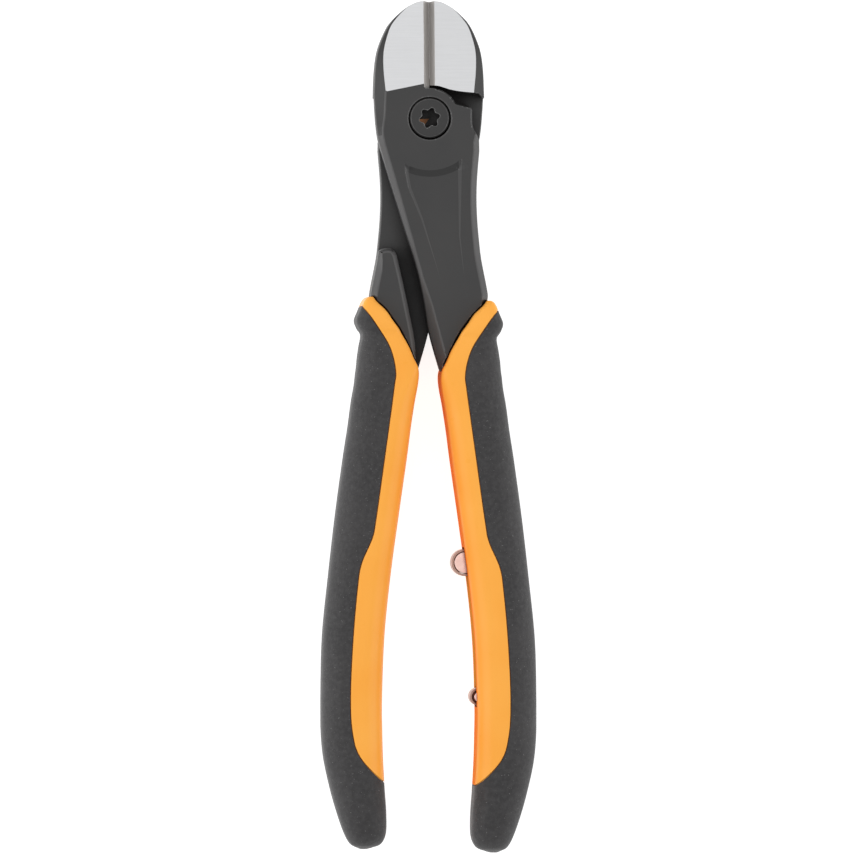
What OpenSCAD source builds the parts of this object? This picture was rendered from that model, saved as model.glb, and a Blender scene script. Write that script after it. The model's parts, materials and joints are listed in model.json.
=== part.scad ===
// Diagonal cutting pliers with a lap joint, two-material grips and a folding return spring.
// Lying flat: +Y points to the jaw tips, +X to the right handle, +Z up out of the front face.
// The shapes are drawn about the pivot and then moved to stand on Z = 0, centred on the origin.

/* [Head] */
// Thickness of the closed head, both laps together
head_t = 12; // [11:0.5:12.5]
// Fall of each ground jaw face from the joint to the tip
jaw_fall = 2.6; // [2:0.1:3]
// Half width of the bevel at the cutting edge on the front
edge_bevel = 1.4; // [1.2:0.1:1.6]
// Depth of the cutting edge below the ground front faces
edge_depth = 1.5; // [1.2:0.1:1.8]
// Depth of the shallow pocket below the screw
pocket_depth = 0.55; // [0.3:0.05:0.8]

/* [Pivot] */
// Radius of the round lap around the screw
lap_r = 7.1; // [6.8:0.1:7.2]
// Diameter of the screw head
screw_head_d = 9.4; // [9:0.1:9.6]
// Diameter of the screw shoulder that the front half turns on
shoulder_d = 7; // [6.5:0.1:7.5]
// Diameter of the threaded end of the screw
thread_d = 6; // [5:0.5:6]
// Radial running clearance on the shoulder
shoulder_clearance = 0.05; // [0.02:0.01:0.1]
// Gap between the two lap faces
lap_gap = 0.1; // [0.06:0.02:0.2]

/* [Grips] */
// Largest thickness of the grips
grip_t = 19; // [18.6:0.2:20]
// Wall of the soft cover over the core
cover_wall = 2.3; // [2.1:0.1:2.4]
// How much further up the handle the left grip sits
grip_stagger = 0.9; // [0:0.1:1.2]

/* [Return spring] */
// Width of the spring strip, along Z
spring_w = 6.4; // [5.6:0.2:6.8]
// Thickness of the spring strip
strip_t = 0.54; // [0.4:0.02:0.6]
// Outer radius of the large rolled eye
big_eye_r = 3.17; // [3:0.05:3.2]
// Outer radius of the small rolled eye
small_eye_r = 2.05; // [1.9:0.05:2.1]
// Clearance around the spring in its slot
slot_clearance = 0.4; // [0.3:0.05:0.45]

/* [Hidden] */
$fn = 64;

tip_y = 27.65;
heel_y = -171.9;        // end of a grip before it is moved along its handle
lap_t = head_t / 2;
rest_y = -(tip_y + heel_y - grip_stagger / 2) / 2;
edge_gap = 0.02;        // half the gap between the closed cutting edges
edge_land = 0.4;        // depth of the upright land where the cutting edges meet
jaw_root_y = 8.4;       // where the ground face starts on the lap side, on the centre line
foot_root_y = 7.3;      // the same on the side that is cut off over the other half
bevel_start_y = 7.1;    // lower end of the bevels at the cutting edge
relief_start_y = 9.6;   // lower end of the steep relief behind the cutting edge
jaw_slant = 0.207;      // how the start of the ground faces slopes outwards
jaw_chamfer = 2.6;
foot_chamfer = 2.7;     // jaw chamfer on the side that is cut off
back_chamfer = 1.3;
pad_chamfer = 0.8;
small_chamfer = 0.3;
pocket_ramp = 0.85;     // width of the sloping side walls of the pocket
pocket_top_r = 12.2;    // radius about the pivot where the top wall of the pocket starts
shank_end_y = -66;      // the steel thins to the tang here
tang_t = 6;
big_eye = [8.45, -104.2];
small_eye = [11.6, -135.7];

// ---- curves -------------------------------------------------------------------------------

// A smooth curve through the points, cut into n pieces between neighbours
function spline(p, n) = concat(
    [for (i = [0 : len(p) - 2]) for (k = [0 : n - 1])
        let (t = k / n, a = p[max(i - 1, 0)], b = p[i], c = p[i + 1], d = p[min(i + 2, len(p) - 1)])
        0.5 * (2 * b + (c - a) * t + (2 * a - 5 * b + 4 * c - d) * t * t
               + (3 * b - a - 3 * c + d) * t * t * t)],
    [p[len(p) - 1]]);

function arc(r, from, to, n) = [for (k = [0 : n]) let (a = from + (to - from) * k / n) r * [cos(a), sin(a)]];

// Points of an anticlockwise outline moved inwards by their own widths
function inset(p, w) = [for (i = [0 : len(p) - 1])
    let (d = p[(i + 1) % len(p)] - p[(i + len(p) - 1) % len(p)], t = d / norm(d))
    p[i] + w[i] * [-t.y, t.x]];

// ---- outlines of one steel half, anticlockwise, seen from its lap side up --------------------

// Cutting edge side, tip and rounded back of the jaw
jaw_edge = concat(
    [[-edge_gap, 27.4]],
    spline([[-1.2, tip_y], [-3.1, 27.3], [-5.5, 25.95], [-8.4, 23.3], [-10.1, 20.9], [-11.95, 16.3],
            [-12.7, 11.5], [-12.95, 5.5]], 5));

// Straight inner side of the shank, from the jaw to the crotch of the handles
shank_inner = spline([[-12.8, 2.2], [-12.4, -2.5], [-11.65, -6.4], [-8.9, -15.9], [-4.95, -28.7],
                      [-2.8, -35.9], [-1.3, -42.7], [0, -50.3], [2.45, -59]], 4);

// Outer side of the shank, from inside the grip up to the waist
shank_outer = spline([[12.5, -54], [12.8, -47], [13.65, -42.6], [13.6, -40.3], [12.2, -33.1], [11.65, -28.4],
                      [11.25, -23.7], [11.08, -18.5], [11.25, -13.5], [11.75, -7.6]], 3);

// Shoulder that stops the opening, and the round lap
shoulder = concat([[11.7, -5.4], [11.1, -3.8], [10.25, -2.5], [9.95, -1], [9.95, 1.9], [9.6, 2.6]],
                  arc(lap_r, 29.8, 90, 14));

steel_end = [[5, -61], [7, shank_end_y], [13.2, shank_end_y], [12.7, -60]];

lap_outline = concat(jaw_edge, shank_inner, steel_end, shank_outer, shoulder, [[-edge_gap, lap_r]]);

jaw_outline = concat(jaw_edge, [[-12.9, 1], [-11, -1], [-edge_gap, -1]]);

// Lower edge of the jaw where it is cut off over the other half's lap
jaw_foot = concat([[-14, 4.6], [-12.3, 5], [-11.6, 5.9]],
                  spline([[-9.8, 6.1], [-7.2, 6.35], [-4.7, 6.8], [-2.2, 7.6], [0, 7.75]], 2));

pad_outline = concat([for (p = shank_outer) if (p.y < -32) p],
                     spline([[11.9, -31.2], [11.3, -30.7], [9.9, -30.4], [8.6, -30.7], [7.8, -31.9],
                             [7.5, -33], [6.35, -38], [4.9, -44.9], [3.5, -52.2], [3.2, -58]], 3),
                     steel_end);

// Shallow pocket in the front face; its top wall is cut by a cone about the pivot
pocket_outline = [[-6.2, -8], [-5.9, -12.3], [-5.2, -16.4], [-2.4, -23.8], [0.9, -35.1], [3.6, -46],
                  [9.9, -46], [8.8, -36], [7.7, -27.5], [7.6, -17.7], [7.5, -11.9], [7.5, -8]];

tang_outline = concat(
    spline([[5.6, -60], [8.7, -75], [10.3, -87], [12.5, -101], [14.7, -122], [15.1, -136], [15.2, -150]], 2),
    spline([[16.5, -153], [19.3, -153.2], [20.8, -150.5]], 3),
    spline([[21.6, -136], [21.2, -122], [19.1, -101], [17.3, -87], [15.6, -75], [13, -60]], 2));

// Chamfer width along the inner side of the shank, wide again where the handles part
function inner_chamfer(y) = lookup(y, [[-50, 2.2], [-45, 1.7], [-38, 0.7], [-33, 0.65], [-28, 0.9],
                                       [-12, 1.2], [-5.7, 1.1], [-2.7, 1.3], [0, 1.95], [3, 2.35],
                                       [6.5, jaw_chamfer]]);

// Chamfer width at a point of the lap outline; the cutting edge itself has none
function chamfer_at(p) =
    p.x > -edge_gap - 0.005 && p.y > 7 ? 0 :
    p.x > 9 && p.y < -4 ? back_chamfer :
    p.x > 0 && p.y > -4 ? small_chamfer : inner_chamfer(p.y);

function lap_chamfers(p) = [for (q = p) chamfer_at(q)];

function jaw_chamfers(p) = [for (q = p) q.x > -edge_gap - 0.005 ? 0 : foot_chamfer];

function pad_chamfers(p) = [for (q = p)
    q.x > 11.5 ? lookup(q.y, [[-34, back_chamfer], [-31.4, pad_chamfer]]) : pad_chamfer];

// ---- solids from outlines ---------------------------------------------------------------------

// A plate from z_flat to z_face whose rim is chamfered at z_face
module chamfered_plate(p, w, z_flat, z_face) {
    n = len(p);
    up = sign(z_face - z_flat);
    q = inset(p, w);
    points = concat([for (v = p) [v.x, v.y, z_flat]],
                    [for (i = [0 : n - 1]) [p[i].x, p[i].y, z_face - up * max(w[i], 0.01)]],
                    [for (v = q) [v.x, v.y, z_face]]);
    rings = [for (r = [0 : 1]) for (i = [0 : n - 1]) let (j = (i + 1) % n)
        each [[r * n + i, r * n + j, (r + 1) * n + j], [r * n + i, (r + 1) * n + j, (r + 1) * n + i]]];
    floor_face = [for (i = [0 : n - 1]) n - 1 - i];
    top_face = [for (i = [0 : n - 1]) 2 * n + i];
    faces = concat([floor_face, top_face], rings);
    turned = [for (f = faces) [for (i = [len(f) - 1 : -1 : 0]) f[i]]];
    polyhedron(points, up > 0 ? turned : faces, convexity = 6);
}

fall_rate = jaw_fall / (tip_y - jaw_root_y);
fall_angle = atan(fall_rate);

// Everything above the ground face of a jaw that starts at root_y
module ground_cut(root_y) {
    translate([0, root_y, lap_t])
        multmatrix([[1, 0, 0, 0], [0, 1, 0, 0], [jaw_slant * fall_rate, -fall_rate, 1, 0], [0, 0, 0, 1]])
            translate([-20, -5, 0]) cube([20, 35, 10]);
}

// Part of a section along the cutting edge from start_y to past the tip, following the ground face
module along_edge(start_y) {
    translate([0, jaw_root_y, lap_t])
        rotate([-fall_angle, 0, 0])
            rotate([90, 0, 0])
                translate([0, 0, -30])
                    linear_extrude(30 + jaw_root_y - start_y) children();
}

// The bevel on the front of the cutting edge, its land, and the steep relief behind it
module edge_cut() {
    rise = edge_depth / edge_bevel;
    along_edge(bevel_start_y)
        polygon([[-edge_bevel - 3, 3 * rise], [0, -edge_depth], [1, -edge_depth], [1, 3 * rise]]);
    along_edge(relief_start_y)
        polygon([[0, -edge_depth - edge_land], [-1.6, -edge_depth - 1.9], [-4.4, -12.9], [1, -12.9],
                 [1, -edge_depth - edge_land]]);
}

// Shallow recess with sloping walls and a curved top, fading out towards the handle
module pocket_cut() {
    fade = 1.25;
    translate([0, -pocket_top_r, lap_t]) rotate([-fade, 0, 0]) translate([0, pocket_top_r, 0])
        difference() {
            scale([1, 1, pocket_depth / pocket_ramp])
                chamfered_plate(pocket_outline, [for (p = pocket_outline) pocket_ramp], 3, -pocket_ramp);
            translate([0, 0, -2 * pocket_depth])
                cylinder(h = 6 * pocket_depth, r1 = pocket_top_r + 3, r2 = pocket_top_r - 6, $fn = 48);
        }
}

// One forging without its pivot hole; side is 1 where the cutting edge lies towards its lap, or -1
module half_blank(side) {
    resize([0, 0, 0]) difference() {
        union() {
            chamfered_plate(lap_outline, lap_chamfers(lap_outline), lap_gap / 2, lap_t);
            difference() {
                chamfered_plate(jaw_outline, jaw_chamfers(jaw_outline), lap_gap, -lap_t);
                translate([0, 0, -10]) linear_extrude(20) polygon(concat([[0, -3], [-14, -3]], jaw_foot));
            }
            chamfered_plate(pad_outline, pad_chamfers(pad_outline), lap_gap, -lap_t);
            translate([0, 0, -tang_t / 2]) linear_extrude(tang_t) polygon(tang_outline);
        }
        ground_cut(jaw_root_y);
        mirror([0, 0, 1]) ground_cut(foot_root_y);
        scale([1, 1, side]) edge_cut();
        pocket_cut();
    }
}

// Soft outline of one grip: [y, inner x, outer x, half thickness, inner and outer corner radius]
grip_rows = [
    [-42.3, 13.4, 15.1, 7.8, 0.6, 0.8], [-43.6, 12.4, 15.6, 8.7, 0.8, 1.3],
    [-45.5, 10.4, 16.4, 9.2, 0.9, 2.4], [-47.7, 8.9, 17.25, 9.5, 0.9, 3.4],
    [-49.6, 7.5, 16.7, 9.3, 0.9, 3.7], [-51.2, 6.6, 15.8, 8.9, 0.9, 3.8],
    [-54, 5, 16.25, 8.9, 1, 4.2], [-56.6, 3.9, 16.65, 8.9, 1, 4.6],
    [-58.6, 2.9, 16.85, 8.9, 1.2, 5], [-60.4, 2.6, 17.1, 9, 2, 5.2],
    [-63, 2.8, 17.4, 9.1, 3, 5.4], [-67, 3.5, 18.1, 9.3, 4, 5.6],
    [-73, 4.4, 18.9, 9.5, 4.4, 5.8], [-80, 5.3, 20, 9.5, 4.5, 6],
    [-94, 7.3, 21.9, 9.5, 4.5, 6], [-108, 9.2, 23.5, 9.5, 4.5, 6],
    [-122, 10.6, 24.9, 9.5, 4.5, 6], [-136.5, 11.15, 25.25, 9.5, 4.5, 6],
    [-144, 11.1, 25.2, 9.5, 4.5, 6], [-150.6, 10.9, 24.6, 9.5, 4.8, 6],
    [-157.6, 10.5, 23.1, 9.3, 5, 6], [-163, 10.1, 21.6, 8.9, 5, 5.7],
    [-168, 10.1, 19.9, 7.4, 4.5, 4.9], [-170.6, 11.2, 18.5, 5.4, 3.5, 3.6],
    [-171.5, 13.2, 17, 3.2, 1.7, 1.9], [heel_y, 14.5, 16.1, 1.4, 0.7, 0.8]];

// Line between the core and the cover on the front and back of a grip
parting_line = spline([[17, -44.2], [15.7, -44.8], [12.3, -49.5], [9.5, -54.2], [8.2, -59.5], [8.6, -64],
                       [10.8, -80], [12.8, -94.2], [13.7, -98.8], [16.2, -104.7], [17.1, -110],
                       [18.2, -122.4], [18.8, -136], [18.3, -144.6], [16.4, -150.3], [11, -155.8],
                       [7, -157.4]], 3);

function corner(cx, cz, r, from) = [for (q = arc(r, from, from + 90, 4)) q + [cx, cz]];

// Rounded section of a grip at one row, as [x, z] points
function grip_section(s) = concat(
    corner(s[2] - s[5], s[3] - s[5], s[5], 0), corner(s[1] + s[4], s[3] - s[4], s[4], 90),
    corner(s[1] + s[4], s[4] - s[3], s[4], 180), corner(s[2] - s[5], s[5] - s[3], s[5], 270));

// Solid through the sections of the rows
module loft(rows) {
    sections = [for (s = rows) [for (q = grip_section(s)) [q.x, s[0], q.y]]];
    m = len(sections[0]);
    n = len(sections);
    sides = [for (r = [0 : n - 2]) for (i = [0 : m - 1]) let (j = (i + 1) % m)
        each [[r * m + i, (r + 1) * m + j, r * m + j], [r * m + i, (r + 1) * m + i, (r + 1) * m + j]]];
    first = [for (i = [0 : m - 1]) i];
    last = [for (i = [0 : m - 1]) n * m - 1 - i];
    polyhedron([for (s = sections) each s], concat([first, last], sides), convexity = 4);
}

thickened_rows = [for (s = spline(grip_rows, 2))
    [s[0], s[1], min(s[2], 25.25), min(s[3], 9.5) * grip_t / 19, s[4], s[5]]];

module grip_body() loft(thickened_rows);

// The space inside the soft cover
module grip_inside() {
    loft([for (s = thickened_rows) if (s[0] < -45.4 && s[0] > -169.5)
        [s[0], s[1] + cover_wall, s[2] - cover_wall, s[3] - cover_wall,
         max(s[4] - cover_wall, 0.5), max(s[5] - cover_wall, 0.5)]]);
}

module cover_side() {
    translate([0, 0, -15]) linear_extrude(30)
        polygon(concat(parting_line, [[7, -180], [32, -180], [32, -44]]));
}

// Slot in the right grip that the folded spring lies in
module spring_slot() {
    half_w = spring_w / 2 + slot_clearance;
    translate([0, 0, -half_w]) linear_extrude(2 * half_w) {
        translate(big_eye) circle(big_eye_r + slot_clearance);
        translate(small_eye) circle(small_eye_r + slot_clearance);
        polygon([[2, big_eye.y + big_eye_r + slot_clearance],
                 [big_eye.x, big_eye.y + big_eye_r + slot_clearance],
                 [big_eye.x + big_eye_r + slot_clearance, big_eye.y], [13.2, -120],
                 [small_eye.x + small_eye_r + slot_clearance, small_eye.y],
                 [small_eye.x, small_eye.y - small_eye_r - slot_clearance],
                 [5, small_eye.y - small_eye_r - slot_clearance]]);
    }
}

module pin_shape(grow) {
    translate([small_eye.x, small_eye.y, -spring_w / 2 - 2])
        cylinder(h = spring_w + 4, r = 1.06 + grow);
}

// Orange core of a grip for the half_blank of the given side; lift moves the grip up its handle
module grip_core(side, lift) {
    resize([0, 0, 0]) difference() {
        translate([0, lift, 0]) union() {
            difference() {
                grip_body();
                cover_side();
            }
            grip_inside();
        }
        half_blank(side);
    }
}

module grip_cover(lift) {
    resize([0, 0, 0]) translate([0, lift, 0]) difference() {
        intersection() {
            grip_body();
            cover_side();
        }
        grip_inside();
    }
}

// ---- sub-parts ----------------------------------------------------------------------------------

module placed() {
    translate([0, rest_y, grip_t / 2]) children();
}

// The rear pieces are the front ones turned half a turn about the length
module turned_over() {
    rotate([0, 180, 0]) children();
}

// Left jaw, front lap and right handle
module front_half() {
    color("#46464a") placed() difference() {
        half_blank(1);
        translate([0, 0, -1]) cylinder(h = head_t, r = shoulder_d / 2 + shoulder_clearance);
        translate([0, 0, lap_t - 2.6]) cylinder(h = 4, r = screw_head_d / 2 + 0.3);
    }
}

// Right jaw, rear lap and left handle
module rear_half() {
    color("#3c3c40") placed() difference() {
        turned_over() half_blank(-1);
        translate([0, 0, -head_t]) cylinder(h = 2 * head_t, r = thread_d / 2);
    }
}

// Shoulder screw with a six-lobed drive, flush with the front face
module pivot_screw() {
    lobe = [for (k = [0 : 71]) let (a = 5 * k, r = 2.13 + 0.3 * cos(6 * (a - 13))) r * [cos(a), sin(a)]];
    color("#2e2e31") placed() difference() {
        union() {
            translate([0, 0, -lap_t + 0.2]) cylinder(h = lap_t, r = thread_d / 2);
            translate([0, 0, -lap_gap / 2]) cylinder(h = lap_t - 2.4, r = shoulder_d / 2);
            translate([0, 0, lap_t - 2.5]) cylinder(h = 2.4, r = screw_head_d / 2);
        }
        translate([0, 0, lap_t - 2.1]) linear_extrude(4) polygon(lobe);
    }
}

module right_grip_core() {
    color("#f99f3b") placed() difference() {
        grip_core(1, -grip_stagger / 2);
        spring_slot();
        pin_shape(0);
    }
}

module right_grip_cover() {
    color("#4b4a4a") placed() grip_cover(-grip_stagger / 2);
}

module left_grip_core() {
    color("#f99f3b") placed() turned_over() grip_core(-1, grip_stagger / 2);
}

module left_grip_cover() {
    color("#4b4a4a") placed() turned_over() grip_cover(grip_stagger / 2);
}

// Flat strip rolled into an eye at each end
module return_spring() {
    bow = 0.35;
    big_in = acos(1 - strip_t / big_eye_r);
    small_in = acos(1 - strip_t / small_eye_r);
    function strip_side(from, to) = [for (k = [1 : 9]) let (t = k / 10)
        from + (to - from) * t + [4 * bow * t * (1 - t), 0]];
    big_out = big_eye + [big_eye_r, 0];
    small_out = small_eye + [small_eye_r, 0];
    big_arc = [for (v = arc(big_eye_r, 0, 360 - big_in, 30)) v + big_eye];
    small_arc = [for (v = arc(small_eye_r, small_in, 360, 24)) v + small_eye];
    outline = concat(strip_side(small_out, big_out), big_arc,
                     strip_side(big_arc[30], small_arc[0]), small_arc);
    color("#d9a08c") placed() difference() {
        translate([0, 0, -spring_w / 2]) linear_extrude(spring_w) polygon(outline);
        translate([big_eye.x, big_eye.y, 0])
            cylinder(h = 2 * spring_w, r = big_eye_r - strip_t, center = true);
        translate([small_eye.x, small_eye.y, 0])
            cylinder(h = 2 * spring_w, r = small_eye_r - strip_t, center = true);
    }
}

// Solid roller in the large eye, stepped down at both ends
module spring_roller() {
    step = 1.5;
    color("#dfb6a8") placed() translate([big_eye.x, big_eye.y, 0]) {
        cylinder(h = spring_w, r = 2.2, center = true);
        cylinder(h = spring_w - 2 * step, r = big_eye_r - strip_t, center = true);
    }
}

// Pin through the small eye; its thin ends sit in the walls of the slot
module spring_pin() {
    step = 1.5;
    color("#c9c4bf") placed() {
        pin_shape(0);
        translate([small_eye.x, small_eye.y, 0])
            cylinder(h = spring_w - 2 * step, r = small_eye_r - strip_t - 0.06, center = true);
    }
}

front_half();
rear_half();
pivot_screw();
right_grip_core();
right_grip_cover();
left_grip_core();
left_grip_cover();
return_spring();
spring_roller();
spring_pin();
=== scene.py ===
import json
import math

import bmesh
import bpy
import numpy as np
from mathutils import Matrix, Vector


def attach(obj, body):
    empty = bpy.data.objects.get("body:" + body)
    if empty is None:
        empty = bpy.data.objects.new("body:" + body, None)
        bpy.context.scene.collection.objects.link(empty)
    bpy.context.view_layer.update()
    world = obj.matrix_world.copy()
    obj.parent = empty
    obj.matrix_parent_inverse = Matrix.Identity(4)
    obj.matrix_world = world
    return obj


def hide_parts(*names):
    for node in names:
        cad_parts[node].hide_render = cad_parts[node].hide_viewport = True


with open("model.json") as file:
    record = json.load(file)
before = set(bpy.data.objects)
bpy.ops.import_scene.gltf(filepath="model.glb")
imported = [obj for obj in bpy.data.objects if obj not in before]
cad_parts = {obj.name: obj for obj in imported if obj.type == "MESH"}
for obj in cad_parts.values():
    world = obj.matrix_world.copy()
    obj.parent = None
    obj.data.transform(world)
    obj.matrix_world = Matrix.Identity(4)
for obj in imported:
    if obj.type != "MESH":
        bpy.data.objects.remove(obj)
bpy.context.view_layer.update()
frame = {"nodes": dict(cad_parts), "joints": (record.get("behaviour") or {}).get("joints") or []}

# Diagonal cutting pliers. Sizes are in mm and places in mm from the pivot, +X to the right grip, +Y to the
# jaw tips and +Z out of the front. A side is 1 for the right handle and its grip and -1 for the left.
MM = 0.001
PIVOT = Vector(next(j for j in frame["joints"] if j["name"] == "pivot")["pos_m"])
CRISP_SLOTS = (1, 2)        # material slots whose borders with the others stay sharp
ROUND_SHARE = 0.45          # most of a neighbouring edge's length that one rounding may take
NEARLY_STRAIGHT = 0.9 * math.pi


# ---- helpers -------------------------------------------------------------------------------

def row_point(x, y, z):
    """A point given in mm from the pivot, in the row frame."""
    return PIVOT + MM * Vector((x, y, z))


def spline(points, n):
    """Catmull-Rom curve through the points, n pieces between neighbours."""
    p = np.array(points, float)
    out = []
    for i in range(len(p) - 1):
        a, b, c, d = p[max(i - 1, 0)], p[i], p[i + 1], p[min(i + 2, len(p) - 1)]
        for k in range(n):
            t = k / n
            out.append(0.5 * (2 * b + (c - a) * t + (2 * a - 5 * b + 4 * c - d) * t * t
                              + (3 * b - a - 3 * c + d) * t ** 3))
    out.append(p[-1])
    return np.array(out)


def new_object(name, verts_mm, faces):
    """Mesh object from points in mm from the pivot."""
    mesh = bpy.data.meshes.new(name)
    mesh.from_pydata([row_point(*v) for v in verts_mm], [], faces)
    mesh.validate()
    obj = bpy.data.objects.new(name, mesh)
    bpy.context.scene.collection.objects.link(obj)
    return obj


def copy_of(node, name):
    """New object with a CAD node's mesh; the node itself stays as it is."""
    obj = bpy.data.objects.new(name, frame["nodes"][node].data.copy())
    bpy.context.scene.collection.objects.link(obj)
    return obj


def apply_modifiers(obj):
    """Puts the modifiers' result into the mesh."""
    graph = bpy.context.evaluated_depsgraph_get()
    mesh = bpy.data.meshes.new_from_object(obj.evaluated_get(graph))
    obj.modifiers.clear()
    obj.data = mesh
    return obj


def boolean(obj, other, operation):
    """Changes the object by the other one, which is removed."""
    mod = obj.modifiers.new("boolean", "BOOLEAN")
    mod.operation = operation
    mod.solver = "MANIFOLD"
    mod.object = other
    apply_modifiers(obj)
    bpy.data.objects.remove(other)
    return obj


def prism(name, outline, z_low, z_high):
    """Straight solid over an outline in mm."""
    n = len(outline)
    verts = [(x, y, z_low) for x, y in outline] + [(x, y, z_high) for x, y in outline]
    sides = [(i, (i + 1) % n, n + (i + 1) % n, n + i) for i in range(n)]
    return outward(new_object(name, verts, [list(range(n))[::-1], list(range(n, 2 * n))] + sides))


def outward(obj):
    """Turns all faces of a closed mesh outward."""
    work = bmesh.new()
    work.from_mesh(obj.data)
    bmesh.ops.recalc_face_normals(work, faces=work.faces)
    work.to_mesh(obj.data)
    work.free()
    return obj


def weld(obj, distance_mm=0.002):
    """Joins doubled points, so that the mesh is closed."""
    work = bmesh.new()
    work.from_mesh(obj.data)
    bmesh.ops.remove_doubles(work, verts=work.verts, dist=distance_mm * MM)
    work.to_mesh(obj.data)
    work.free()
    return obj


def cramped(vert, picked, width):
    """True where a rounding of this width would run past a neighbouring edge or out of a sharp corner."""
    for face in vert.link_faces:
        loop = next(corner for corner in face.loops if corner.vert is vert)
        first, second = loop.edge, loop.link_loop_prev.edge
        angle = min(loop.calc_angle(), math.pi - 0.001)
        if first in picked and second in picked:
            if width / math.tan(angle / 2) > ROUND_SHARE * min(first.calc_length(), second.calc_length()):
                return True
        elif (first in picked or second in picked) and angle < NEARLY_STRAIGHT:
            other = second if first in picked else first
            if width / math.sin(angle) > ROUND_SHARE * other.calc_length():
                return True
    return False


def with_room(picked, width):
    """Leaves out the shortest edges of every corner that has no room for the rounding."""
    corners = {vert: None for edge in picked for vert in edge.verts}
    picked = set(picked)
    while corners:
        vert = next(iter(corners))
        corners.pop(vert)
        while cramped(vert, picked, width):
            shortest = min((e for e in vert.link_edges if e in picked), key=lambda e: e.calc_length())
            picked.discard(shortest)
            corners[shortest.other_vert(vert)] = None
    return picked


def round_edges(obj, width_mm, segments=2, angle=35, merge_mm=0.01, keen=None, slot=-1):
    """Joins flat faces and rounds the outer edges sharper than the angle, but not those keen(edge) names.

    The roundings take the material of the given slot, or of their neighbours for -1.
    """
    work = bmesh.new()
    work.from_mesh(obj.data)
    bmesh.ops.remove_doubles(work, verts=work.verts, dist=merge_mm * MM)
    bmesh.ops.dissolve_limit(work, angle_limit=math.radians(0.5), verts=work.verts, edges=work.edges,
                             delimit={"MATERIAL"})
    weight = work.edges.layers.float.new("bevel_weight_edge")
    picked = [edge for edge in work.edges if len(edge.link_faces) == 2 and edge.is_convex
              and edge.calc_face_angle() > math.radians(angle) and not (keen and keen(edge))]
    for edge in with_room(picked, width_mm * MM):
        edge[weight] = 1
    work.to_mesh(obj.data)
    work.free()
    mod = obj.modifiers.new("round", "BEVEL")
    mod.width = width_mm * MM
    mod.segments = segments
    mod.limit_method = "WEIGHT"
    mod.use_clamp_overlap = False
    mod.material = slot
    return apply_modifiers(obj)


def shade(obj, angle=30):
    """Smooth faces, with sharp edges above the angle and around the crisp slots."""
    obj.data.shade_smooth()
    obj.data.set_sharp_from_angle(angle=math.radians(angle))
    work = bmesh.new()
    work.from_mesh(obj.data)
    for edge in work.edges:
        if len({face.material_index in CRISP_SLOTS for face in edge.link_faces}) > 1:
            edge.smooth = False
    work.to_mesh(obj.data)
    work.free()
    mod = obj.modifiers.new("flat", "WEIGHTED_NORMAL")
    mod.keep_sharp = True
    return apply_modifiers(obj)


def set_materials(obj, *materials):
    """Replaces the object's materials."""
    obj.data.materials.clear()
    for mat in materials:
        obj.data.materials.append(mat)


def split_faces(obj):
    """Splits the faces into triangles and keeps the shading."""
    mod = obj.modifiers.new("split", "TRIANGULATE")
    mod.keep_custom_normals = True
    return apply_modifiers(obj)


# ---- materials -----------------------------------------------------------------------------

SPREAD = (0.3, 0.7)             # range in which nearly all values of a noise lie
WALL_FROM, WALL_FULL = -52, -58     # y at which the painted shade, a deeper orange, of a grip's inner walls starts and is full
WALL_TILT = (0.35, 0.05)        # upward part of the normal at which a wall's colour starts and is full


def material(name):
    """New material with its nodes, links and main shader."""
    mat = bpy.data.materials.new(name)
    mat.use_nodes = True
    return mat, mat.node_tree.nodes, mat.node_tree.links, mat.node_tree.nodes["Principled BSDF"]


def noise(nodes, links, scale, detail=3, stretch=(1, 1, 1)):
    """Noise in the object's own metres; scale is cells per metre."""
    coords = nodes.new("ShaderNodeTexCoord")
    mapping = nodes.new("ShaderNodeMapping")
    mapping.inputs["Scale"].default_value = stretch
    tex = nodes.new("ShaderNodeTexNoise")
    tex.inputs["Scale"].default_value = scale
    tex.inputs["Detail"].default_value = detail
    links.new(coords.outputs["Object"], mapping.inputs["Vector"])
    links.new(mapping.outputs["Vector"], tex.inputs["Vector"])
    return tex.outputs["Fac"]


def remap(nodes, links, value, low, high, to_low, to_high):
    """Value moved from low..high to to_low..to_high, and held at their ends."""
    node = nodes.new("ShaderNodeMapRange")
    node.inputs["From Min"].default_value = low
    node.inputs["From Max"].default_value = high
    node.inputs["To Min"].default_value = to_low
    node.inputs["To Max"].default_value = to_high
    links.new(value, node.inputs["Value"])
    return node.outputs["Result"]


def blend_colours(nodes, links, factor, first, second):
    """First colour at factor 0 and second at 1; each is a tuple or another node's output."""
    node = nodes.new("ShaderNodeMix")
    node.data_type = "RGBA"
    for key, value in ((6, first), (7, second)):        # the Mix node's two colour sockets
        if isinstance(value, tuple):
            node.inputs[key].default_value = (*value, 1)
        else:
            links.new(value, node.inputs[key])
    links.new(factor, node.inputs[0])
    return node.outputs[2]


def blend_values(nodes, links, factor, first, second):
    """First number at factor 0 and second at 1; each is a float or another node's output."""
    node = nodes.new("ShaderNodeMix")
    for key, value in ((2, first), (3, second)):        # the Mix node's two number sockets
        if isinstance(value, float):
            node.inputs[key].default_value = value
        else:
            links.new(value, node.inputs[key])
    links.new(factor, node.inputs[0])
    return node.outputs[0]


def bump(nodes, links, height, distance_mm, strength, normal=None):
    """Normal of a fine relief, on top of another normal if one is given."""
    node = nodes.new("ShaderNodeBump")
    node.inputs["Distance"].default_value = distance_mm * MM
    node.inputs["Strength"].default_value = strength
    links.new(height, node.inputs["Height"])
    if normal:
        links.new(normal, node.inputs["Normal"])
    return node.outputs["Normal"]


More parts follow.
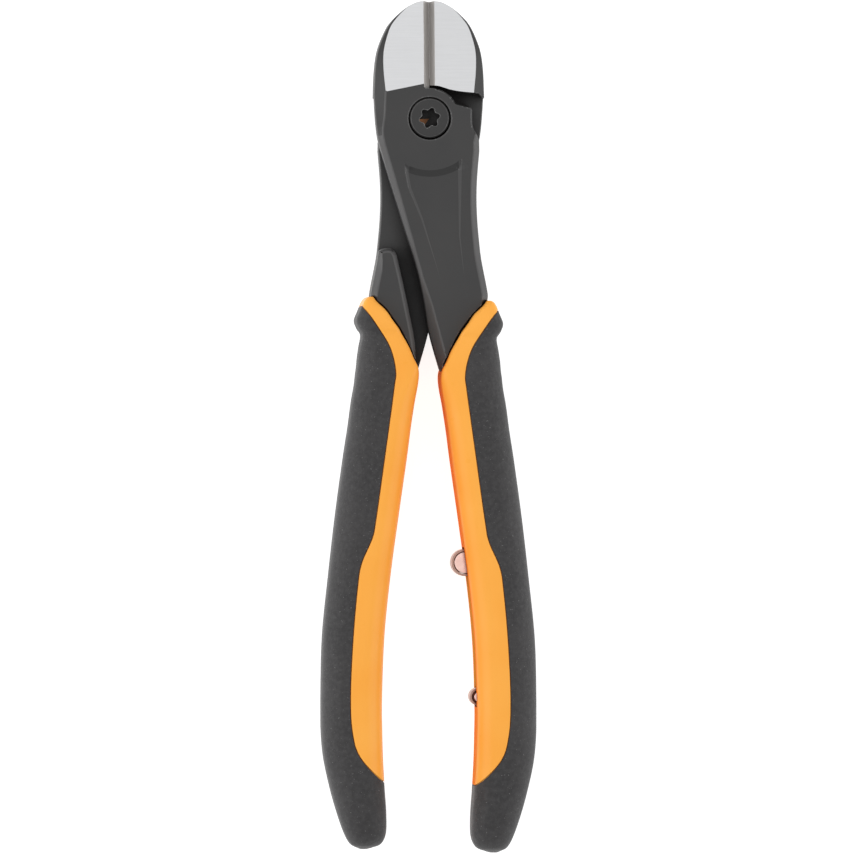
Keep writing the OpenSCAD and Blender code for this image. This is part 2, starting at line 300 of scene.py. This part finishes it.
def edge_mask(nodes, links, radius_mm):
    """1 along edges and 0 on open faces, with the rounded normal that tells them apart."""
    soft = nodes.new("ShaderNodeBevel")
    soft.samples = 6
    soft.inputs["Radius"].default_value = radius_mm * MM
    geometry = nodes.new("ShaderNodeNewGeometry")
    dot = nodes.new("ShaderNodeVectorMath")
    dot.operation = "DOT_PRODUCT"
    links.new(soft.outputs["Normal"], dot.inputs[0])
    links.new(geometry.outputs["Normal"], dot.inputs[1])
    return remap(nodes, links, dot.outputs["Value"], 0.997, 0.93, 0, 1), soft.outputs["Normal"]


def inner_wall(nodes, links):
    """1 on the upright walls of a grip below its shoulders, and 0 on its front and back."""
    coords = nodes.new("ShaderNodeTexCoord")
    normal = nodes.new("ShaderNodeSeparateXYZ")
    links.new(coords.outputs["Normal"], normal.inputs[0])
    tilt = nodes.new("ShaderNodeMath")
    tilt.operation = "ABSOLUTE"
    links.new(normal.outputs[2], tilt.inputs[0])
    place = nodes.new("ShaderNodeSeparateXYZ")
    links.new(coords.outputs["Object"], place.inputs[0])
    start, full = PIVOT.y + WALL_FROM * MM, PIVOT.y + WALL_FULL * MM
    below = remap(nodes, links, place.outputs[1], start, full, 0, 1)
    return multiply(nodes, links, below, remap(nodes, links, tilt.outputs[0], *WALL_TILT, 0, 1))


def cavity(nodes, links, reach_mm, low, high):
    """1 on open faces and 0 deep in a gap or recess, from how much of the surroundings is hidden; the
    materials paint shade with it.
    """
    node = nodes.new("ShaderNodeAmbientOcclusion")
    node.samples = 8
    node.inputs["Distance"].default_value = reach_mm * MM
    return remap(nodes, links, node.outputs["AO"], low, high, 0, 1)


def multiply(nodes, links, first, second):
    node = nodes.new("ShaderNodeMath")
    node.operation = "MULTIPLY"
    links.new(first, node.inputs[0])
    links.new(second, node.inputs[1])
    return node.outputs[0]


def black_steel(name="black_steel", tone=0.03, wear_and_highlight_tone=0.15, reach_mm=10, hidden=(0.22, 0.62)):
    """Black oxide over steel, lighter along edges toward wear_and_highlight_tone, partly from rubbing and
    chips and partly as a painted highlight, and darker in gaps with painted shade.
    """
    mat, nodes, links, skin = material(name)
    cloud = noise(nodes, links, 90, 4)
    grain = noise(nodes, links, 2600, 2)
    base = blend_colours(nodes, links, remap(nodes, links, cloud, *SPREAD, 0, 1),
                         (tone * 0.85, tone * 0.84, tone * 0.86), (tone * 1.18, tone * 1.14, tone * 1.13))
    # edges turn lighter, partly from rubbing and chips and partly as a painted highlight for the light that
    # edges catch
    edge, softened = edge_mask(nodes, links, 0.3)
    wear = remap(nodes, links, noise(nodes, links, 420, 4), 0.4, 0.6, 0.25, 1)
    rubbing_and_highlight = multiply(nodes, links, edge, wear)
    chips = remap(nodes, links, noise(nodes, links, 1600, 3), 0.56, 0.66, 0, 1)
    chipped = multiply(nodes, links, edge, chips)
    wear_and_highlight = blend_colours(nodes, links, rubbing_and_highlight, base, (wear_and_highlight_tone,) * 3)
    bare = blend_colours(nodes, links, chipped, wear_and_highlight, (2.2 * wear_and_highlight_tone,) * 3)
    # painted shade: the colour falls to near black deep in gaps and recesses
    open_air = cavity(nodes, links, reach_mm, *hidden)
    links.new(blend_colours(nodes, links, open_air, (0.003, 0.002, 0.002), bare), skin.inputs["Base Color"])
    skin.inputs["Metallic"].default_value = 0.1
    satin = remap(nodes, links, cloud, *SPREAD, 0.42, 0.54)
    links.new(blend_values(nodes, links, open_air, 0.95, satin), skin.inputs["Roughness"])
    forged = bump(nodes, links, noise(nodes, links, 500, 3), 0.03, 0.25, softened)
    links.new(bump(nodes, links, grain, 0.02, 0.35, forged), skin.inputs["Normal"])
    return mat


def ground_steel(name, colour, stretch, roughness=(0.44, 0.54)):
    """Bare steel with fine grinding lines; the stretch squeezes the noise across them."""
    mat, nodes, links, skin = material(name)
    lines = noise(nodes, links, 120, 5, stretch)
    drift = noise(nodes, links, 130, 3)
    tone = blend_colours(nodes, links, remap(nodes, links, lines, *SPREAD, 0, 1),
                         tuple(0.95 * c for c in colour), tuple(1.04 * c for c in colour))
    links.new(blend_colours(nodes, links, remap(nodes, links, drift, *SPREAD, 0, 0.3), tone,
                            tuple(0.92 * c for c in colour)), skin.inputs["Base Color"])
    skin.inputs["Metallic"].default_value = 1
    links.new(remap(nodes, links, lines, *SPREAD, *roughness), skin.inputs["Roughness"])
    links.new(bump(nodes, links, lines, 0.008, 0.2), skin.inputs["Normal"])
    return mat


def orange_plastic():
    """Semi-gloss orange, deeper with painted shade and matt on the inner walls of the grips, and darker with
    painted shade in its gaps.
    """
    mat, nodes, links, skin = material("orange_plastic")
    drift = noise(nodes, links, 60, 2)
    face = blend_colours(nodes, links, remap(nodes, links, drift, *SPREAD, 0, 1),
                         (0.94, 0.39, 0.056), (0.96, 0.43, 0.074))
    # painted shade: the inner walls below the shoulders take a deeper, redder orange
    wall = inner_wall(nodes, links)
    tone = blend_colours(nodes, links, wall, face, (0.84, 0.21, 0.008))
    # painted shade: the orange darkens to brown in gaps and grooves
    open_air = cavity(nodes, links, 1.2, 0.4, 0.8)
    links.new(blend_colours(nodes, links, open_air, (0.16, 0.02, 0.004), tone), skin.inputs["Base Color"])
    gloss = remap(nodes, links, noise(nodes, links, 350, 3), *SPREAD, 0.27, 0.36)
    links.new(blend_values(nodes, links, wall, gloss, 0.9), skin.inputs["Roughness"])
    skin.inputs["Specular IOR Level"].default_value = 0.11
    softened = edge_mask(nodes, links, 0.2)[1]
    fine = bump(nodes, links, noise(nodes, links, 1500, 2), 0.01, 0.2, softened)
    links.new(bump(nodes, links, noise(nodes, links, 110, 2), 0.08, 0.25, fine), skin.inputs["Normal"])
    return mat


def soft_rubber():
    """Matt dark cover with a fine pale speckle and a fine relief, and painted shade in its gaps."""
    mat, nodes, links, skin = material("soft_rubber")
    speck = noise(nodes, links, 2300, 2)
    mottle = noise(nodes, links, 900, 3)
    drift = noise(nodes, links, 80, 3)
    base = blend_colours(nodes, links, remap(nodes, links, drift, *SPREAD, 0, 1),
                         (0.028, 0.027, 0.028), (0.038, 0.036, 0.037))
    spotted = blend_colours(nodes, links, remap(nodes, links, mottle, 0.4, 0.7, 0, 0.5), base,
                            (0.058, 0.056, 0.057))
    tone = blend_colours(nodes, links, remap(nodes, links, speck, 0.66, 0.76, 0, 0.8), spotted,
                         (0.16, 0.156, 0.156))
    # painted shade: the cover darkens to near black in gaps
    open_air = cavity(nodes, links, 0.8, 0.4, 0.8)
    links.new(blend_colours(nodes, links, open_air, (0.004, 0.003, 0.003), tone), skin.inputs["Base Color"])
    links.new(remap(nodes, links, speck, 0.35, 0.7, 0.6, 0.82), skin.inputs["Roughness"])
    skin.inputs["Specular IOR Level"].default_value = 0.34
    skin.inputs["Sheen Weight"].default_value = 0.12
    skin.inputs["Sheen Roughness"].default_value = 0.5
    softened = edge_mask(nodes, links, 0.2)[1]
    fine = bump(nodes, links, speck, 0.07, 0.6, softened)
    links.new(bump(nodes, links, noise(nodes, links, 700, 2), 0.06, 0.3, fine), skin.inputs["Normal"])
    return mat


def copper_plate(name, colour, dark):
    """Satin copper plate, dark in its gaps with painted shade."""
    mat, nodes, links, skin = material(name)
    drift = noise(nodes, links, 600, 3)
    tone = blend_colours(nodes, links, remap(nodes, links, drift, *SPREAD, 0, 1),
                         tuple(0.88 * c for c in colour), colour)
    # painted shade: the copper darkens in gaps, such as the rings inside the spring's eyes
    open_air = cavity(nodes, links, 1.2, 0.45, 0.85)
    links.new(blend_colours(nodes, links, open_air, dark, tone), skin.inputs["Base Color"])
    skin.inputs["Metallic"].default_value = 0.9
    satin = remap(nodes, links, noise(nodes, links, 1400, 3), *SPREAD, 0.26, 0.42)
    links.new(satin, skin.inputs["Roughness"])
    links.new(bump(nodes, links, noise(nodes, links, 2500, 2), 0.01, 0.3), skin.inputs["Normal"])
    return mat


STEEL = black_steel()
GROUND = ground_steel("ground_jaw", (0.66, 0.665, 0.675), (1, 22, 22))
HONED = ground_steel("honed_bevel", (0.43, 0.415, 0.40), (20, 1, 20), (0.36, 0.48))
# painted shade: a near-black tone for the pocket's curved top wall
POCKET_SHADE = black_steel("pocket_top_painted_shade", 0.009, 0.02)
# painted highlight: a lighter black steel for the chamfers and rounded edges, for the light they catch
LIT_EDGE = black_steel("edge_painted_highlight", 0.062, 0.2)
# painted highlight: a lighter black steel for the pocket's sloping sides
POCKET_SIDE_HIGHLIGHT = black_steel("pocket_side_painted_highlight", 0.052, 0.2)
# painted shade: a darker copy of the black steel for the jaws' flanks
FLANK_SHADE = black_steel("jaw_flank_painted_shade", 0.013, 0.11)
SCREW = black_steel("screw_steel", 0.02, 0.16, 3, (0.4, 0.9))
# painted glint: a brown metal for one wedge of the screw recess's cone
GLINT = ground_steel("painted_glint", (0.17, 0.08, 0.04), (3, 3, 3))
ORANGE = orange_plastic()
RUBBER = soft_rubber()
# painted shade: the strip takes a darker copy of the same copper plate as the pin and roller, for its shaded
# edges
COPPER = copper_plate("copper_strip", (0.46, 0.29, 0.235), (0.12, 0.04, 0.03))
COPPER_PIN = copper_plate("copper_pin", (0.90, 0.62, 0.55), (0.17, 0.06, 0.04))


# ---- steel halves ----------------------------------------------------------------------------

FALL = 2.6 / 19.25          # fall of the ground jaw faces per mm of length
SLANT = 0.207               # slope of the line at which the ground faces start, falling outwards
HEAD_HALF = 6               # half thickness of the head
GAP_WIDTH = 0.38            # slot in the steel along the upper edge of a grip
GAP_DEPTH = 1.3
GAP_COVERED = 0.4           # how far the slot runs on under the grip
GAP_CUTTER = 3              # height of the tool that cuts it
GAP_END = -60               # y at which it ends
POCKET_LOW = 4.8            # height above which the walls of the pocket lie
POCKET_LEFT, POCKET_RIGHT = -4.8, 6.8       # x, on the front, where its top wall meets its sloping sides
JAW_FOOT = -4               # y that parts the jaws' flanks from the chamfers of the shanks
BEVEL_FOOT = 6              # y above which the ground faces and the bevels lie

# Material slots of a steel half; JAW_FACE and BEVEL are the crisp ones. POCKET_TOP and FLANK paint shade,
# CHAMFER and POCKET_RAMP paint highlights.
BODY, JAW_FACE, BEVEL, POCKET_TOP, CHAMFER, POCKET_RAMP, FLANK = range(7)
SLOT_LOOKS = (STEEL, GROUND, HONED, POCKET_SHADE, LIT_EDGE, POCKET_SIDE_HIGHLIGHT, FLANK_SHADE)


def on_pocket_top(centre, normal):
    """True on the curved top wall of the pocket."""
    return abs(centre.z) > POCKET_LOW and -14.5 < centre.y < -9 and normal.y < -0.25


def split_pocket_top(obj):
    """Cuts the top wall of the pocket where its sloping sides begin."""
    work = bmesh.new()
    work.from_mesh(obj.data)
    for x in (-POCKET_RIGHT, POCKET_LEFT, -POCKET_LEFT, POCKET_RIGHT):
        wall = [face for face in work.faces
                if on_pocket_top((face.calc_center_median() - PIVOT) / MM, face.normal)]
        parts = dict.fromkeys(part for face in wall for part in (face, *face.edges, *face.verts))
        bmesh.ops.bisect_plane(work, geom=list(parts), plane_co=row_point(x, 0, 0), plane_no=(1, 0, 0))
    work.to_mesh(obj.data)
    work.free()


def face_slot(centre, normal, ground):
    """Material slot of a face, from its middle, its direction and the directions of the ground faces.

    The numbers are ranges of place and direction that hold one kind of face each, with some room. The slots
    of the pocket's top wall and the jaws' flanks paint shade, those of the pocket's sloping sides and the
    chamfers paint highlights.
    """
    flat = abs(normal.z)
    front = math.copysign(1, centre.z) * centre.x
    if on_pocket_top(centre, normal) and POCKET_LEFT < front < POCKET_RIGHT:
        return POCKET_TOP
    if -48 < centre.y < -8 and abs(centre.z) > POCKET_LOW and abs(centre.x) < 8 and 0.77 < flat < 0.92:
        return POCKET_RAMP
    if centre.y > JAW_FOOT and abs(centre.x) > 5 and 0.15 < flat < 0.85:
        return FLANK
    if centre.y < JAW_FOOT and abs(centre.z) > 4 and 0.6 < flat < 0.8 and abs(normal.x) > 0.55:
        return CHAMFER
    if centre.y > BEVEL_FOOT and any(normal.dot(direction) > 0.9995 for direction in ground):
        return JAW_FACE
    if centre.y > BEVEL_FOOT and abs(centre.x) < 4.4 and abs(normal.x) > 0.5 and abs(normal.y) < 0.35:
        return BEVEL
    return BODY


def dress_faces(obj):
    """Gives every face of a steel half its own finish, or a painted shade or highlight."""
    ground = [Vector((-sx * SLANT * FALL, FALL, sz)).normalized() for sx in (-1, 1) for sz in (-1, 1)]
    for face in obj.data.polygons:
        face.material_index = face_slot((face.center - PIVOT) / MM, face.normal, ground)


def keen_line(edge):
    """The line along which the jaws meet, and the crisp borders of the ground faces."""
    ends = [(vert.co - PIVOT) / MM for vert in edge.verts]
    if len({face.material_index in CRISP_SLOTS for face in edge.link_faces}) > 1:
        return True
    return all(end.y > 6.5 and abs(end.x) < 0.5 for end in ends)


def grip_gaps(side, lift):
    """Narrow slots in the steel along the upper edge of a grip, front and back."""
    edge = [(side * inner, y + lift) for y, inner, *_ in GRIP_ROWS if y > GAP_END]
    outline = [*offset_line(edge, -side * GAP_WIDTH), *offset_line(edge, side * GAP_COVERED)[::-1]]
    return [prism("gap", outline, low, low + GAP_CUTTER)
            for low in (HEAD_HALF - GAP_DEPTH, GAP_DEPTH - HEAD_HALF - GAP_CUTTER)]


def steel_half(node, body, side, lift):
    """Forged half with its slots beside the grip, its finishes, its painted shades and highlights, and its
    rounded edges.
    """
    obj = copy_of(node, node + "_forged")
    weld(obj)
    for cutter in grip_gaps(side, lift):
        boolean(obj, cutter, "DIFFERENCE")
    split_pocket_top(obj)
    set_materials(obj, *SLOT_LOOKS)
    dress_faces(obj)
    # the roundings take the CHAMFER slot's painted highlight
    round_edges(obj, 0.28, segments=3, angle=20, keen=keen_line, slot=CHAMFER)
    weld(obj, 0.001)
    shade(obj, 32)
    split_faces(obj)
    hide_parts(node)
    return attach(obj, body)


# ---- grips -----------------------------------------------------------------------------------

# Sections of the right grip: y, inner x, outer x, half thickness, inner and outer corner radius
GRIP_ROWS = [
    (-42.3, 13.4, 14.4, 7.8, 0.4, 0.5), (-42.7, 13.1, 15, 8.2, 0.6, 0.8),
    (-43.6, 12.4, 15.6, 8.7, 0.8, 1.3), (-45.5, 10.4, 16.4, 9.2, 0.9, 2.4),
    (-47.7, 8.9, 17.25, 9.5, 0.9, 3.4),
    (-49.6, 7.5, 16.7, 9.3, 0.9, 3.7), (-51.2, 6.6, 15.8, 8.9, 0.9, 3.8),
    (-54, 5, 16.25, 8.9, 1, 4.2), (-56.6, 3.9, 16.65, 8.9, 1, 4.6),
    (-58.6, 2.9, 16.85, 8.9, 1.2, 5), (-60.4, 2.6, 17.1, 9, 2, 5.2),
    (-63, 2.8, 17.4, 9.1, 3, 5.4), (-67, 3.5, 18.1, 9.3, 4, 5.6),
    (-73, 4.4, 18.9, 9.5, 4.4, 5.8), (-80, 5.3, 20, 9.5, 4.5, 6),
    (-94, 7.3, 21.9, 9.5, 4.5, 6), (-108, 9.2, 23.5, 9.5, 4.5, 6),
    (-122, 10.6, 24.9, 9.5, 4.5, 6), (-136.5, 11.15, 25.25, 9.5, 4.5, 6),
    (-144, 11.1, 25.2, 9.5, 4.5, 6), (-150.6, 10.9, 24.6, 9.5, 4.8, 6),
    (-157.6, 10.5, 23.1, 9.3, 5, 6), (-163, 10.1, 21.6, 8.9, 5, 5.7),
    (-168, 10.1, 19.9, 7.4, 4.5, 4.9), (-170.6, 11.2, 18.5, 5.4, 3.5, 3.6),
    (-171.5, 13.2, 17, 3.2, 1.7, 1.9), (-171.9, 14.5, 16.1, 1.4, 0.7, 0.8)]

# Line between core and cover, seen from the front
PARTING = [(17, -44.2), (15.7, -44.8), (12.3, -49.5), (9.5, -54.2), (8.2, -59.5), (8.6, -64), (10.8, -80),
           (12.8, -94.2), (13.7, -98.8), (16.2, -104.7), (17.1, -110), (18.2, -122.4), (18.8, -136),
           (18.3, -144.6), (16.4, -150.3), (11, -155.8), (7, -157.4)]

GRIP_HALF, GRIP_REACH = 9.5, 25.25      # most that half thickness and outer x may be between the rows
CROWN = 0.4                 # how much lower a grip's face is at its sides than along its middle
CROWN_HALF = 9              # half thickness from which the crown is full
COVER_WALL = 2.3
GROOVE = 0.1                # half width of the groove between core and cover
GROOVE_DEPTH = 0.24
STAGGER = 0.45              # how far the right grip is moved down from its rows and the left one up
FAR_SIDE = [(7, -180), (32, -180), (32, -43)]       # closes the parting line around the cover
CUTTER_HALF = 15            # half height of the tools that cut a grip
BIG_EYE, SMALL_EYE = (8.45, -104.2), (11.6, -135.7)     # centres of the spring's eyes
BIG_ROOM, SMALL_ROOM = 3.57, 2.45       # radii of the slot around them
SLOT_HALF = 3.6


def section(inner, outer, half, r_in, r_out, crown):
    """Rounded section as (x, z) points, its front and back slightly crowned.

    Each corner is an arc of 11 points, and 7 more divide the straight side after it.
    """
    corners = [(outer - r_out, half - r_out, r_out, 0), (inner + r_in, half - r_in, r_in, 90),
               (inner + r_in, r_in - half, r_in, 180), (outer - r_out, r_out - half, r_out, 270)]
    points = []
    for i, (cx, cz, r, start) in enumerate(corners):
        arc = [(cx + r * math.cos(math.radians(start + a)), cz + r * math.sin(math.radians(start + a)))
               for a in np.linspace(0, 90, 11)]
        nx, nz, nr, nstart = corners[(i + 1) % 4]
        end = (nx + nr * math.cos(math.radians(nstart)), nz + nr * math.sin(math.radians(nstart)))
        points += arc + [tuple(np.array(arc[-1]) + (np.array(end) - arc[-1]) * k / 8) for k in range(1, 8)]
    middle, reach = (inner + outer) / 2, (outer - inner) / 2
    return [(x, z * (1 - crown / half * min(abs(x - middle) / reach, 1) ** 2)) for x, z in points]


def loft(name, rows, side, lift, crown=CROWN):
    """Solid through the grip's sections."""
    verts, rings = [], []
    for y, inner, outer, half, r_in, r_out in rows:
        ring = section(inner, outer, half, r_in, r_out, crown * min(half / CROWN_HALF, 1))
        rings.append(range(len(verts), len(verts) + len(ring)))
        verts += [(side * x, y + lift, z) for x, z in ring]
    faces = [list(rings[0]), list(rings[-1])]
    for first, second in zip(rings, rings[1:]):
        m = len(first)
        faces += [(first[i], first[(i + 1) % m], second[(i + 1) % m], second[i]) for i in range(m)]
    return outward(new_object(name, verts, faces))


def offset_line(line, distance):
    """An open line moved sideways, to its left for a positive distance."""
    line = np.array(line)
    along = np.gradient(line, axis=0)
    along /= np.linalg.norm(along, axis=1)[:, None]
    return line + distance * np.stack([-along[:, 1], along[:, 0]], 1)


def inset_loft(rows, side, lift, inset, low, high):
    """The grip's own form made smaller all round, between two places along it."""
    inner = [(y, a + inset, b - inset, h - inset, max(r - inset, 0.5), max(s - inset, 0.5))
             for y, a, b, h, r, s in rows if low < y < high]
    return loft("inset", inner, side, lift, 0)


def spring_slot():
    """Room in the inner side of the right grip for the folded spring."""
    def bend(centre, radius, start):
        return [(centre[0] + radius * math.cos(math.radians(start - a)),
                 centre[1] + radius * math.sin(math.radians(start - a))) for a in range(0, 91, 9)]
    outline = [(2, BIG_EYE[1] + BIG_ROOM), *bend(BIG_EYE, BIG_ROOM, 90), (13.2, -120),
               *bend(SMALL_EYE, SMALL_ROOM, 0), (5, SMALL_EYE[1] - SMALL_ROOM)]
    return prism("slot", outline, -SLOT_HALF, SLOT_HALF)


def grip_piece(kind, side, lift):
    """Core or cover of a grip; a tongue on the core forms the bottom of the groove between them."""
    rows = spline(GRIP_ROWS, 6)
    rows[:, 3] = np.minimum(rows[:, 3], GRIP_HALF)
    rows[:, 2] = np.minimum(rows[:, 2], GRIP_REACH)
    line = spline(PARTING, 8)
    name = f"{'right' if side > 0 else 'left'}_grip_{kind}_moulded"
    body = loft(name, rows, side, lift)
    inside = inset_loft(rows, side, lift, COVER_WALL, low=-169.4, high=-45.4)
    shift = GROOVE if kind == "cover" else -GROOVE
    outline = [(side * x, y + lift) for x, y in [*offset_line(line, shift), *FAR_SIDE]]
    cutter = prism("parting", outline, -CUTTER_HALF, CUTTER_HALF)
    if kind == "cover":
        boolean(body, cutter, "INTERSECT")
        boolean(body, inside, "DIFFERENCE")
        return body
    boolean(body, cutter, "DIFFERENCE")
    boolean(body, inside, "UNION")
    strip = [*offset_line(line, -2 * GROOVE), *offset_line(line, GROOVE)[::-1]]
    tongue = prism("tongue", [(side * x, y + lift) for x, y in strip], -CUTTER_HALF, CUTTER_HALF)
    boolean(tongue, inset_loft(rows, side, lift, GROOVE_DEPTH, low=-171, high=-43.2), "INTERSECT")
    boolean(body, tongue, "UNION")
    return boolean(body, spring_slot(), "DIFFERENCE") if side > 0 else body


def finish_grip(obj, mat, node, body):
    shade(obj, 40)
    set_materials(obj, mat)
    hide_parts(node)
    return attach(obj, body)


def make_grips():
    for side, label, body, lift in ((1, "right", "front", -STAGGER), (-1, "left", "rear", STAGGER)):
        finish_grip(grip_piece("core", side, lift), ORANGE, f"{label}_grip_core", body)
        finish_grip(grip_piece("cover", side, lift), RUBBER, f"{label}_grip_cover", body)


# ---- screw and spring ----------------------------------------------------------------------------

HEAD_SHIFT = Vector((-0.03, 0.12, 0))    # play of the screw head in its counterbore
HEAD_LOW = 3.4              # height above which the head lies
LOBE_MEAN, LOBE_SWING = 2.12, 0.32      # mean radius of the six-lobed recess, and how much it changes
LOBE_TURN = 13              # where its first lobe points, in degrees
RECESS_FLOOR = 3.1
STRIP_HALF = 3.2            # half width of the spring, and of the roller in its large eye
ROLLER = 2.5                # its radius


def lathe(name, profile, centre=(0, 0), segments=96):
    """Solid of revolution about an upright axis through centre, from (radius, height) points in mm."""
    verts, rings = [], []
    for r, z in profile:
        count = 1 if r == 0 else segments
        rings.append(list(range(len(verts), len(verts) + count)))
        verts += [(centre[0] + r * math.cos(2 * math.pi * k / segments),
                   centre[1] + r * math.sin(2 * math.pi * k / segments), z) for k in range(count)]
    faces = []
    for a, b in zip(rings, rings[1:]):
        for k in range(segments):
            n = (k + 1) % segments
            corners = [a[k % len(a)], a[n % len(a)], b[n % len(b)], b[k % len(b)]]
            faces.append(list(dict.fromkeys(corners)))
    return outward(new_object(name, verts, faces))


def make_screw():
    """Shoulder screw: flush head, six-lobed recess with a conical bottom, and a plain chamfered end."""
    end = [(0, -5.8), (2.5, -5.8), (3, -5.3), (3, -0.05)]
    shoulder = [(3.5, -0.05), (3.5, 3.5)]
    head = [(4.72, 3.5), (4.72, 5.5), (4.4, 5.82), (3.9, 5.9), (0, 5.9)]
    obj = lathe("pivot_screw_turned", end + shoulder + head)
    lobes = []
    for k in range(120):
        angle = math.radians(3 * k)
        radius = LOBE_MEAN + LOBE_SWING * math.cos(6 * (angle - math.radians(LOBE_TURN)))
        lobes.append((radius * math.cos(angle), radius * math.sin(angle)))
    recess = prism("recess", lobes, RECESS_FLOOR, 7)
    boolean(recess, lathe("cone", [(0, 3), (2.8, 3), (2.8, 4.2), (1.3, 3.7), (0, 3.25)]), "DIFFERENCE")
    boolean(obj, recess, "DIFFERENCE")
    for vert in obj.data.vertices:
        if (vert.co - PIVOT).z > HEAD_LOW * MM:
            vert.co += MM * HEAD_SHIFT
    # slot 1 paints a glint as a brown wedge on the lower-left of the recess's cone; slot 2 paints a
    # highlight on the rounded edges
    set_materials(obj, SCREW, GLINT, LIT_EDGE)
    for face in obj.data.polygons:
        centre = (face.center - PIVOT) / MM
        bearing = math.degrees(math.atan2(centre.y, centre.x)) % 360
        face.material_index = int(3.2 < centre.z < 4.1 and 185 < bearing < 232)
    round_edges(obj, 0.1, angle=25, slot=2)
    shade(obj, 30)
    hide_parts("pivot_screw")
    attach(obj, "rear")


def finish_spring_piece(obj, mat, node, body, width_mm):
    set_materials(obj, mat)
    round_edges(obj, width_mm, segments=3, angle=30, merge_mm=0.002)
    shade(obj, 35)
    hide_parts(node)
    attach(obj, body)


def make_spring():
    finish_spring_piece(copy_of("return_spring", "return_spring_strip"), COPPER,
                        "return_spring", "spring", 0.1)
    profile = [(0, -STRIP_HALF), (ROLLER, -STRIP_HALF), (ROLLER, STRIP_HALF), (0, STRIP_HALF)]
    roller = lathe("spring_roller_turned", profile, BIG_EYE)
    finish_spring_piece(roller, COPPER_PIN, "spring_roller", "spring", 0.15)
    finish_spring_piece(copy_of("spring_pin", "spring_pin_turned"), COPPER_PIN,
                        "spring_pin", "front", 0.15)


# ---- stage, light and camera -------------------------------------------------------------------

def make_stage():
    """Pale floor that glows a little, so that it stays near white."""
    mat, nodes, links, skin = material("pale_floor")
    skin.inputs["Base Color"].default_value = (0.45, 0.45, 0.45, 1)
    skin.inputs["Roughness"].default_value = 0.9
    skin.inputs["Specular IOR Level"].default_value = 0
    skin.inputs["Emission Color"].default_value = (1, 1, 1, 1)
    skin.inputs["Emission Strength"].default_value = 0.86
    bpy.ops.mesh.primitive_plane_add(size=6, location=(0, 0, 0))
    floor = bpy.context.object
    floor.name = "floor"
    floor.data.materials.append(mat)


def area_light(name, location, size, power):
    """Light in metres and watts that points at the object."""
    data = bpy.data.lights.new(name, "AREA")
    data.shape = "RECTANGLE"
    data.size, data.size_y = size
    data.energy = power
    obj = bpy.data.objects.new(name, data)
    bpy.context.scene.collection.objects.link(obj)
    obj.location = location
    obj.rotation_euler = (Vector((0, 0, 0)) - Vector(location)).to_track_quat("-Z", "Y").to_euler()


def make_light():
    world = bpy.data.worlds.new("studio")
    bpy.context.scene.world = world
    world.use_nodes = True
    world.node_tree.nodes["Background"].inputs["Color"].default_value = (1, 1, 1, 1)
    world.node_tree.nodes["Background"].inputs["Strength"].default_value = 0.52
    area_light("key", (-0.1, 0.3, 1.0), (1.2, 1.2), 3.2)
    area_light("left", (-0.8, 0, 0.3), (0.3, 1.0), 4)
    area_light("right", (0.8, 0, 0.3), (0.3, 1.0), 3.4)
    bpy.context.scene.view_settings.view_transform = "Standard"
    bpy.context.scene.view_settings.look = "None"


def make_camera():
    """Camera above the tool and a little to its left, as in the photograph."""
    width = 0.2007          # what the picture spans at the object, in metres
    distance = 2.2
    tilt = math.radians(3.5)
    centre = Vector((-0.0003, 0.0, 0.0095))
    camera = bpy.data.cameras.new("camera")
    obj = bpy.data.objects.new("camera", camera)
    bpy.context.scene.collection.objects.link(obj)
    away = Vector((-math.sin(tilt), 0, math.cos(tilt)))
    obj.location = centre + distance * away
    right = Vector((0, 1, 0)).cross(away).normalized()
    up = away.cross(right)
    obj.rotation_euler = Matrix((right, up, away)).transposed().to_euler()
    camera.sensor_fit = "HORIZONTAL"
    camera.angle_x = 2 * math.atan(width / 2 / distance)
    camera.clip_end = 20
    bpy.context.scene.camera = obj


make_camera()
make_stage()
make_light()
steel_half("front_half", "front", 1, -STAGGER)
steel_half("rear_half", "rear", -1, STAGGER)
make_grips()
make_screw()
make_spring()
